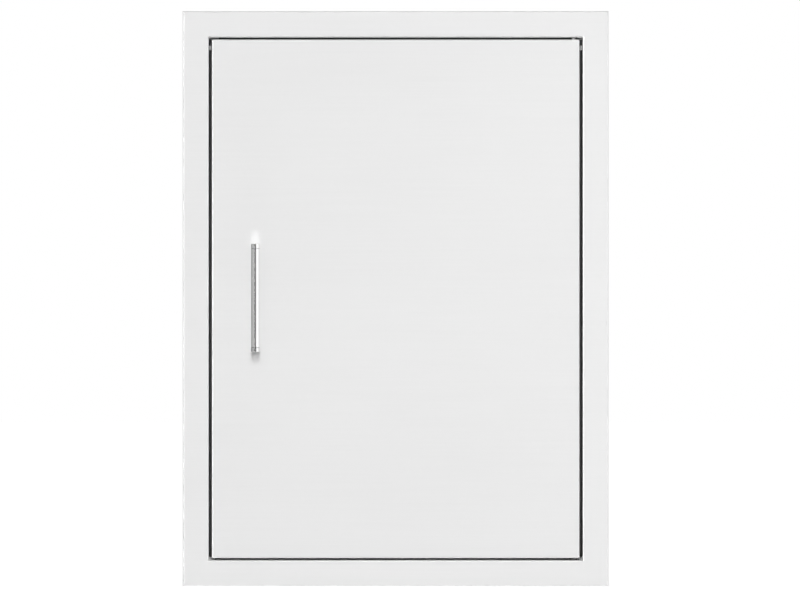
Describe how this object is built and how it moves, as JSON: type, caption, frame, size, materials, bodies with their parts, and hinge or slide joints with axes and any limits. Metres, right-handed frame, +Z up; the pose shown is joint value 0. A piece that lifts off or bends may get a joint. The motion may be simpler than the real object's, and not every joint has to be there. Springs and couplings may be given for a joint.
{
  "type": "bbq island access door",
  "caption": "Stainless access door unit for an outdoor kitchen island: folded frame and sleeve, pan door with bar handle on a sprung lift-off pivot, and magnetic catches.",
  "frame": {"origin": "centre of the wall's cut-out, on the wall's front face, where the frame's rear lip seats", "axes": "+X to the door's hinge edge (the viewer's right), +Y into the wall, +Z up"},
  "size_m": [0.508, 0.1041, 0.6858],
  "materials": {
    "stainless_sheet": "brushed, grain along X",
    "stainless_turned": "fine turned, satin",
    "zinc_steel": "bright zinc",
    "spring_wire": "drawn wire",
    "seal_foam": "matt closed-cell foam",
    "black_nylon": "moulded",
    "catch_plastic": "moulded",
    "ferrite": "matt ground"
  },
  "bodies": {
    "frame": {"frame_head": "stainless_sheet", "frame_sill": "stainless_sheet", "frame_stile_hinge": "stainless_sheet", "frame_stile_latch": "stainless_sheet", "seal_head": "seal_foam", "seal_sill": "seal_foam", "seal_hinge": "seal_foam", "seal_latch": "seal_foam", "pivot_bush_upper": "black_nylon", "pivot_bush_lower": "black_nylon", "pivot_washer": "black_nylon", "catch_housing_upper": "catch_plastic", "catch_housing_lower": "catch_plastic", "catch_magnet_upper": "ferrite", "catch_magnet_lower": "ferrite", "catch_poles_upper": "zinc_steel", "catch_poles_lower": "zinc_steel", "catch_screws": "zinc_steel"},
    "door": {"door_skin": "stainless_sheet", "door_liner": "stainless_sheet", "liner_rivets": "stainless_turned", "handle_tube": "stainless_turned", "handle_cap_upper": "stainless_turned", "handle_cap_lower": "stainless_turned", "handle_post_upper": "stainless_turned", "handle_post_lower": "stainless_turned", "handle_doubler": "stainless_sheet", "handle_screws": "zinc_steel", "handle_washers": "zinc_steel", "strike_plate_upper": "zinc_steel", "strike_plate_lower": "zinc_steel", "strike_rivets": "stainless_turned", "upper_pivot_bracket": "stainless_sheet", "pivot_spring": "spring_wire", "lower_pivot_pin": "stainless_turned"},
    "pivot_pin": {"upper_pivot_pin": "stainless_turned", "pin_collar": "stainless_turned", "collar_roll_pin": "spring_wire"}
  },
  "joints": [
    {"name": "door_swing", "type": "hinge", "parent": "frame", "child": "door", "pos_m": [0.212, -0.0188, 0], "axis": [0, 0, 1], "range_deg": [0, 110]},
    {"name": "pin_retract", "type": "slide", "parent": "door", "child": "pivot_pin", "axis": [0, 0, -1], "range_m": [0, 0.0085], "stiffness_N_per_m": 1110, "springref_m": -0.004, "deforming": ["pivot_spring"]}
  ]
}
